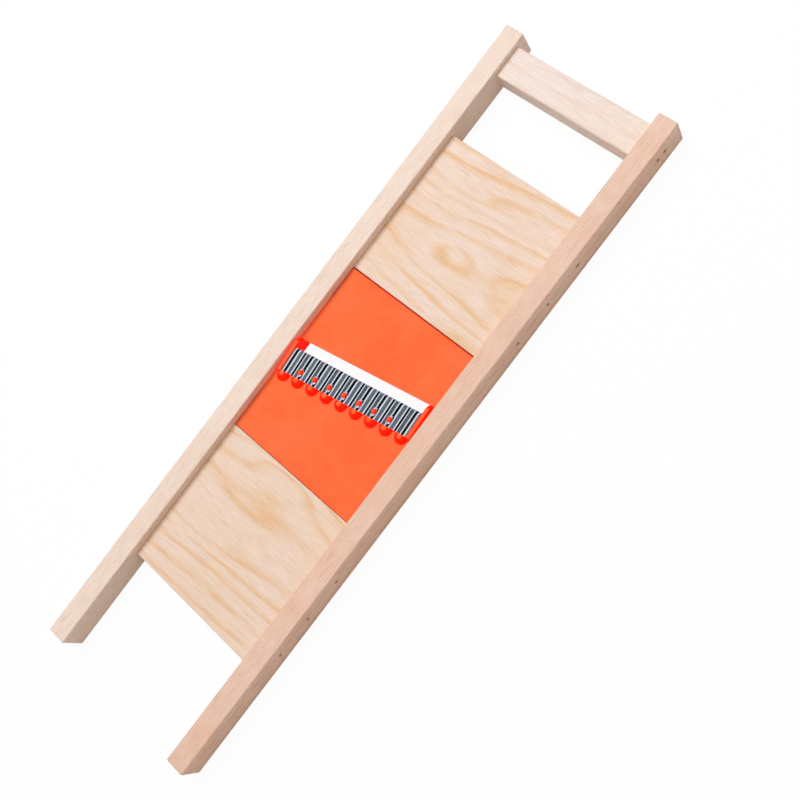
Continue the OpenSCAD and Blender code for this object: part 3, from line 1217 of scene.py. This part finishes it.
    def cheek(self, side: Side) -> bpy.types.Object:
        """Makes one cheek beside the blade: a low tail, a straight rise and a round nose.

        Args:
            side: Side of the slicer.

        Returns:
            The cheek.
        """
        inner = self.cheek_x if side is Side.RIGHT else -self.cheek_x - self.cheek_w
        shift = side.value * (self.cheek_x + self.cheek_w / 2) * self.waves.slant
        low_y = self.waves.rear_y - self.cheek_back + shift
        high_y = self.slot_y()[1] + shift
        top = self.face_z + self.cheek_nose_z
        cheek = box("cheek", (inner, low_y, self.face_z - self.root), (inner + self.cheek_w, high_y, top))
        pick(Part.VERT, lambda spot, way: spot.z > self.face_z and spot.y < (low_y + high_y) / 2)
        bpy.ops.transform.translate(value=(0, 0, (self.cheek_tail_z - self.cheek_nose_z) * MM))
        for end, radius, segments in ((high_y, self.cheek_nose_r, 10), (low_y, self.cheek_tail_r, 6)):
            pick(
                Part.EDGE,
                lambda spot, way: abs(way.x) > 0.9 and spot.z > self.face_z and abs(spot.y - end) < NEAR,
            )
            bevel(radius, segments)
        pick(Part.EDGE, lambda spot, way: abs(way.x) < 0.1 and spot.z > self.face_z - self.root / 2 - NEAR)
        bevel(self.rim_r, 3)
        return cheek

    def stud(self) -> bpy.types.Object:
        """Makes one stud, closed over the blade by a hot punch to a low round head with a dimple.

        Returns:
            The stud, on a crest's top.
        """
        top = self.head_lift + self.head_h
        steps = [
            (0.3, 0, 0),
            (0.25, 0, 0.14),
            (0.25, 0, -0.02),
            (0.3, 0, -0.12),
            (0.25, 0, -0.2),
            (0.15, 0, -0.3),
            (0, 0, 0.64 - self.head_h),
            (self.stud_r - self.head_r, 0, 0),
            (0, 0, -self.shank_l),
            (-self.stud_r, 0, 0),
        ]
        return turned("stud", (0, 0, top - 0.14), steps, (0, 0, 1), 28)


@dataclass
class Rails:
    """The two rails: sanded bars with eased edges, bored for the nails from their outer sides."""

    nails_y: tuple[float, ...]
    frame_w: float = 120.0
    width: float = 12.5
    height: float = 18.5
    length: float = 432.0
    edge_r: float = 0.7
    nail_z: float = 9.85
    pocket_r: float = 1.15
    shank_r: float = 0.75
    sink: float = 1.1
    rim_r: float = 0.15
    left_wood: SandedWood = SandedWood(
        name="sanded_beech_pale",
        pale="#F2DFD1",
        tone="#F5E5DA",
        line="#E6CCB6",
        figure=SawnFigure((-190.0, 0.0, -30.0), 1.35),
        fibres=Fibres.ALONG_RAILS,
        line_strength=0.4,
        wander=1.2,
        wander_mm=(30.0, 200.0, 30.0),
        pore_strength=0.1,
    )
    right_wood: SandedWood = SandedWood(
        name="sanded_beech_pink",
        pale="#F0CCB7",
        tone="#F2D5C5",
        line="#CFA38C",
        figure=SawnFigure((260.0, 0.0, 40.0), 1.5),
        fibres=Fibres.ALONG_RAILS,
        line_strength=0.5,
        wander=1.4,
        wander_mm=(30.0, 240.0, 30.0),
        pore_strength=0.2,
        seed=40.0,
    )

    def build(self) -> None:
        """Builds both rails and dresses them."""
        for side, wood in ((Side.LEFT, self.left_wood), (Side.RIGHT, self.right_wood)):
            node = f"{side.name.lower()}_rail"
            stand_in(self.rail(node + "_sanded", side), wood.build(), node)

    def rail(self, name: str, side: Side) -> bpy.types.Object:
        """Makes one rail.

        Args:
            name: Name of the rail.
            side: Side of the slicer.

        Returns:
            The rail.
        """
        outer = side.value * self.frame_w / 2
        inner = outer - side.value * self.width
        low, high = min(outer, inner), max(outer, inner)
        rail = box(name, (low, -self.length / 2, 0), (high, self.length / 2, self.height))
        pick(Part.EDGE, lambda spot, way: True)
        bevel(self.edge_r, 4)
        bore = self.bore(side)
        for y in self.nails_y:
            combine(rail, copied(bore, at((0, y, 0))), Join.CUT)
        bpy.data.objects.remove(bore)
        activate(rail)
        pick(
            Part.EDGE,
            lambda spot, way: abs(spot.x - outer) < NEAR
            and abs(spot.z - self.nail_z) < 2 * self.pocket_r
            and min(abs(spot.y - y) for y in self.nails_y) < 2 * self.pocket_r,
        )
        bevel(self.rim_r, 2)
        smooth(rail)
        return rail

    def bore(self, side: Side) -> bpy.types.Object:
        """Makes the drill for a nail: a wide pocket for the head and a narrow bore behind it.

        Args:
            side: Side of the slicer.

        Returns:
            The drill at Y = 0.
        """
        inwards = -side.value
        steps = [
            (0, 0, self.pocket_r),
            (inwards * (self.sink + SPARE), 0, 0),
            (0, 0, self.shank_r - self.pocket_r),
            (inwards * self.width, 0, 0),
            (0, 0, -self.shank_r),
        ]
        start = (side.value * (self.frame_w / 2 + SPARE), 0, self.nail_z)
        return turned("bore", start, steps, (1, 0, 0), 28)


@dataclass
class Boards:
    """The two plywood boards and the handle bar between the rails."""

    upper: Plywood = Plywood(
        name="birch_plywood_upper",
        pale="#F3DFD2",
        tone="#F2DBC8",
        line="#EABA7C",
        figure=PeeledFigure(
            ridge_y=91.4,
            ridge_tilt=-0.02,
            round_mm=10.1,
            ring_mm=8.6,
            start=1.24,
            spread=0.0132,
            swells=(
                Swell(0.5, 93.0, 5.0, 3.2, 0.4),
                Swell(-1.4, 96.5, 11.8, 4.9, 0.3),
                Swell(21.7, 93.2, 11.4, 14.1, -0.3),
                Swell(51.3, 88.2, 19.1, 5.0, -0.57),
                Swell(-14.5, 82.0, 20.2, 8.8, 0.42),
                Swell(43.1, 59.3, 19.9, 4.3, -0.77),
                Swell(14.3, 125.3, 60.0, 5.4, -0.66),
                Swell(-21.5, 119.3, 21.7, 20.4, -0.44),
            ),
        ),
        fibres=Fibres.ACROSS_RAILS,
        line_strength=0.75,
        wander=0.25,
        wander_mm=(40.0, 13.0, 30.0),
        pore_strength=0.08,
    )
    lower: Plywood = Plywood(
        name="birch_plywood_lower",
        pale="#F2DDCE",
        tone="#F1DAC5",
        line="#E8B980",
        figure=PeeledFigure(
            ridge_y=-95.4,
            ridge_tilt=0.034,
            round_mm=14.4,
            ring_mm=8.0,
            start=1.59,
            spread=-0.0025,
            swells=(
                Swell(1.6, -60.7, 34.1, 6.7, 1.49),
                Swell(1.7, -72.0, 24.4, 6.5, 0.75),
                Swell(-12.7, -88.3, 28.5, 5.0, -0.51),
                Swell(-24.4, -114.8, 57.6, 8.8, 0.81),
                Swell(-4.9, -135.7, 30.0, 25.0, -0.26),
                Swell(-0.5, -145.5, 54.0, 13.0, 0.44),
            ),
        ),
        fibres=Fibres.ACROSS_RAILS,
        line_strength=0.75,
        wander=0.25,
        wander_mm=(42.0, 14.0, 30.0),
        pore_strength=0.08,
        seed=17.0,
    )
    bar: SandedWood = SandedWood(
        name="sanded_birch_bar",
        pale="#F5E7E2",
        tone="#F5E6D9",
        line="#E6CCB8",
        figure=SawnFigure((0.0, 150.0, -60.0), 6.0),
        fibres=Fibres.ACROSS_RAILS,
        line_strength=0.35,
        wander=1.6,
        wander_mm=(60.0, 20.0, 20.0),
        pore_strength=0.06,
        seed=9.0,
    )

    def build(self, nodes: dict[str, bpy.types.Object]) -> None:
        """Dresses the CAD model's boards and bar, whose shape is right as it is.

        Args:
            nodes: The CAD model's nodes.
        """
        dress(nodes["upper_board"], self.upper.build())
        dress(nodes["lower_board"], self.lower.build())
        dress(nodes["handle_bar"], self.bar.build())


@dataclass
class Nails:
    """Wire nails, driven in and sunk: flat heads with a worn rim, shanks and ground points."""

    rows: dict[str, tuple[float, ...]]
    frame_w: float = 120.0
    sink: float = 0.5
    nail_z: float = 9.85
    head_r: float = 1.15
    head_t: float = 0.6
    shank_r: float = 0.75
    length: float = 25.0
    tip_l: float = 2.5
    tip_r: float = 0.1
    worn: float = 0.12
    steel: RolledSteel = RolledSteel(
        name="dull_wire_steel",
        colour="#7D766F",
        dull="#504943",
        gloss=0.34,
        hairline=0.3,
        wobble=0.05,
    )

    def build(self) -> None:
        """Builds all rows on both sides and dresses them."""
        steel = self.steel.build()
        nail = self.nail()
        for row, places in self.rows.items():
            for side in Side:
                turn = Matrix.Diagonal((-side.value, 1, 1, 1))
                made = [copied(nail, turn @ at((0, y, 0))) for y in places]
                activate(made[0])
                for other in made:
                    other.select_set(True)
                bpy.ops.object.join()
                node = f"{row}_{side.name.lower()}"
                made[0].name = node + "_driven"
                smooth(made[0], 30.0)
                stand_in(made[0], steel, node)
        bpy.data.objects.remove(nail)

    def nail(self) -> bpy.types.Object:
        """Makes one nail on the left side, at Y = 0.

        Returns:
            The nail.
        """
        steps = [
            (0, 0, self.head_r - self.worn),
            (self.worn, 0, self.worn),
            (self.head_t - self.worn, 0, 0),
            (0, 0, self.shank_r - self.head_r),
            (self.length - self.head_t - self.tip_l, 0, 0),
            (self.tip_l, 0, self.tip_r - self.shank_r),
            (0, 0, -self.tip_r),
        ]
        start = (self.sink - self.frame_w / 2, 0, self.nail_z)
        return turned("nail", start, steps, (1, 0, 0), 28)


@dataclass
class Studio:
    """Camera, pale floor, soft lamp, and the striped hood that the polished blade mirrors."""

    eye: Point = (283.498, 44.353, 563.27)
    right: Point = (0.721055, 0.605543, -0.336745)
    down: Point = (0.560472, -0.795493, -0.230348)
    focal_px: float = 1121.83
    centre_px: tuple[float, float] = (436.33, 384.67)
    image_px: float = 800.0
    sensor_mm: float = 36.0
    floor_m: float = 6.0
    floor_glow: float = 0.95
    lamp_at: Point = (-0.62, 0.4, 1.6)
    lamp_m: float = 1.0
    lamp_watts: float = 24.0
    lamp_colour: tuple[float, float, float] = (0.87, 0.94, 1.0)
    room_light: float = 0.455
    room_colour: str = "#FFEAD7"
    hood_m: float = 1.5
    hood_y: tuple[float, float] = (-2.1, 0.8)
    hood_glow: float = 1.55
    # The hood's stripes, as angles from overhead towards +X in degrees, and colours
    stripes: tuple[tuple[float, str], ...] = (
        (-110.0, "#2E3238"),
        (-84.0, "#3C424A"),
        (-68.0, "#6C727A"),
        (-60.0, "#C4C8CC"),
        (-54.0, "#FFFFFF"),
        (-42.0, "#F0F2F4"),
        (-35.0, "#7C828A"),
        (-25.0, "#08090B"),
        (14.0, "#08090B"),
        (21.0, "#7C828A"),
        (28.0, "#FFFFFF"),
        (40.0, "#FFFFFF"),
        (50.0, "#A0A6AC"),
        (62.0, "#6C727A"),
        (88.0, "#5C626A"),
    )

    def set_up(self) -> None:
        """Sets up camera, floor, room, lamp and hood."""
        self.camera()
        self.floor()
        self.room()
        self.lamp()
        self.hood()
        bpy.context.scene.view_settings.view_transform = "Standard"

    def camera(self) -> None:
        """Sets the camera to the photograph's view."""
        data = bpy.data.cameras.new("view")
        data.sensor_width = self.sensor_mm
        data.lens = self.focal_px / self.image_px * self.sensor_mm
        data.shift_x = 0.5 - self.centre_px[0] / self.image_px
        data.shift_y = self.centre_px[1] / self.image_px - 0.5
        data.clip_start, data.clip_end = 0.01, 50.0
        made = bpy.data.objects.new("view", data)
        bpy.context.scene.collection.objects.link(made)
        right, up = Vector(self.right), -Vector(self.down)
        turn = Matrix((right, up, right.cross(up))).transposed().to_4x4()
        made.matrix_world = at(self.eye) @ turn
        bpy.context.scene.camera = made

    def floor(self) -> None:
        """Lays the pale floor, which keeps a light shadow."""
        select_nothing()
        bpy.ops.mesh.primitive_plane_add(size=self.floor_m, location=(0, 0, -0.2 * MM))
        floor = bpy.context.object
        floor.name = "floor"
        material, tree = new_material("pale_floor")
        plain = add_node(tree, "BsdfDiffuse", Color="#E7E7E7")
        lit = add_node(tree, "BsdfDiffuse", Color="#F9F9F9")
        glow = add_node(tree, "Emission", Color="#FFFFFF", Strength=1.0)
        shown = add_node(tree, "MixShader", Fac=self.floor_glow, in1=lit, in2=glow)
        both = add_node(tree, "MixShader", Fac=self.seen(tree), in1=plain, in2=shown)
        # From below, the floor lets the slicer's underside be seen
        clear = add_node(tree, "BsdfTransparent")
        below = add_node(tree, "NewGeometry").outputs["Backfacing"]
        both = add_node(tree, "MixShader", Fac=below, in1=both, in2=clear)
        add_node(tree, "OutputMaterial", Surface=both)
        floor.data.materials.append(material)

    def seen(self, tree: bpy.types.NodeTree) -> bpy.types.Node:
        """Tells whether a ray comes from the camera, straight or by a mirror or glass.

        Args:
            tree: Node tree that gets the nodes.

        Returns:
            1 for such a ray, otherwise 0.
        """
        path = add_node(tree, "LightPath").outputs
        camera, glossy = path["Is Camera Ray"], path["Is Glossy Ray"]
        first = add_node(tree, "Math", {"operation": "MAXIMUM"}, in0=camera, in1=glossy)
        return add_node(tree, "Math", {"operation": "MAXIMUM"}, in0=first, in1=path["Is Transmission Ray"])

    def room(self) -> None:
        """Lights the slicer evenly from all around and shows white behind it."""
        world = bpy.data.worlds.new("room")
        world.use_nodes = True
        tree = world.node_tree
        tree.nodes.clear()
        light = add_node(tree, "Background", Color=self.room_colour, Strength=self.room_light)
        white = add_node(tree, "Background", Color="#FFFFFF", Strength=1.0)
        both = add_node(tree, "MixShader", Fac=self.seen(tree), in1=light, in2=white)
        add_node(tree, "OutputWorld", Surface=both)
        bpy.context.scene.world = world

    def lamp(self) -> None:
        """Hangs the soft box, pointed at the slicer."""
        data = bpy.data.lights.new("soft_box", "AREA")
        data.size = self.lamp_m
        data.energy = self.lamp_watts
        data.color = self.lamp_colour
        made = bpy.data.objects.new("soft_box", data)
        bpy.context.scene.collection.objects.link(made)
        made.location = self.lamp_at
        made.rotation_mode = "QUATERNION"
        made.rotation_quaternion = (-Vector(self.lamp_at)).to_track_quat("-Z", "Y")
        # Its mirror image would burn white spots into the blade; the hood's bright strip stands for it
        made.visible_glossy = False

    def hood(self) -> None:
        """Bends a striped hood over the slicer, which only mirroring surfaces see.

        Polished steel shows what stands round it, so a maker's photograph is taken under dark cards
        with a narrow strip light between them: that draws the dark and bright lines on the waves.
        """
        first, last = (math.radians(self.stripes[i][0]) for i in (0, -1))
        low_y, high_y = self.hood_y
        start = Vector((math.sin(first) * self.hood_m, low_y, math.cos(first) * self.hood_m)) / MM
        hood = single_vertex("hood", tuple(start))
        extrude((0, (high_y - low_y) / MM, 0))
        bpy.ops.mesh.select_all(action="SELECT")
        spin((0, 0, 0), (0, 1, 0), last - first, 40)
        bpy.ops.object.mode_set(mode="OBJECT")
        material, tree = new_material("striped_hood")
        place = add_node(tree, "SeparateXYZ", Vector=add_node(tree, "TexCoord").outputs["Object"]).outputs
        angle = add_node(tree, "Math", {"operation": "ARCTAN2"}, in0=place["X"], in1=place["Z"])
        part = add_node(tree, "MapRange", Value=angle, in1=first, in2=last)
        stops = [((math.radians(degrees) - first) / (last - first), shade) for degrees, shade in self.stripes]
        colour = add_node(tree, "ValToRGB", {"stops": stops}, Fac=part)
        glow = add_node(tree, "Emission", Color=colour, Strength=self.hood_glow)
        add_node(tree, "OutputMaterial", Surface=glow)
        hood.data.materials.append(material)
        for ray in ("camera", "diffuse", "transmission", "volume_scatter", "shadow"):
            setattr(hood, "visible_" + ray, False)


def main() -> None:
    """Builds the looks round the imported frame."""
    logging.basicConfig(level=logging.INFO, format="%(name)s: %(message)s")
    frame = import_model()
    Studio().set_up()
    rows = {
        "handle_nails": (196.25, 202.25),
        "upper_board_nails": (74.5, 100.5, 126.5),
        "lower_board_nails": (-135.0, -110.25, -85.5),
    }
    Rails(tuple(y for row in rows.values() for y in row)).build()
    Boards().build(frame["nodes"])
    waves = Waves()
    Blade(waves).build()
    Insert(waves).build()
    Nails(rows).build()


if __name__ == "__main__":
    main()
